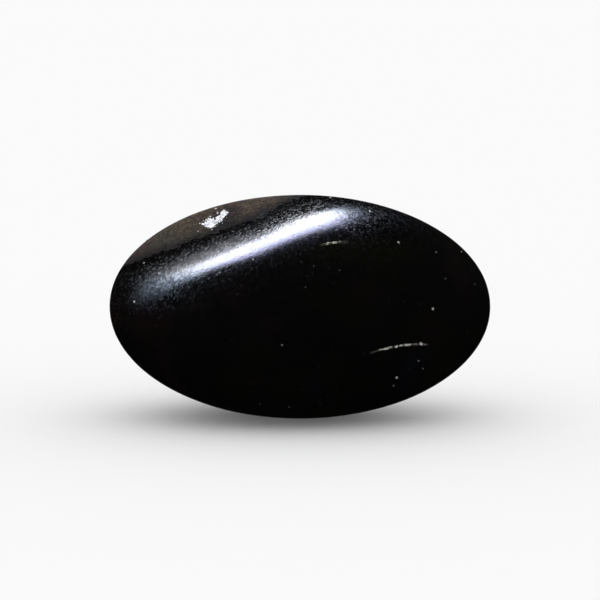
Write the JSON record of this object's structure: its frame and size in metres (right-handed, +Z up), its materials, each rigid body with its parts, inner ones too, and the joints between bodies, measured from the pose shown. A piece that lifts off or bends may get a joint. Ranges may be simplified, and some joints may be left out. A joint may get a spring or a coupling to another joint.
{
  "type": "polished black tourmaline stone",
  "caption": "Polished oval stone of black tourmaline with a domed front, a soft shoulder and a small flat spot underneath that it rests on.",
  "frame": {"origin": "on the ground under the middle of the stone's box, level with the flat spot it rests on", "axes": "+X along the stone's length, +Y towards its round back, +Z up"},
  "size_m": [0.038, 0.0246, 0.0222],
  "materials": {
    "black_tourmaline": "polished"
  },
  "bodies": {
    "root": {"black_tourmaline_stone": "black_tourmaline"}
  },
  "joints": []
}
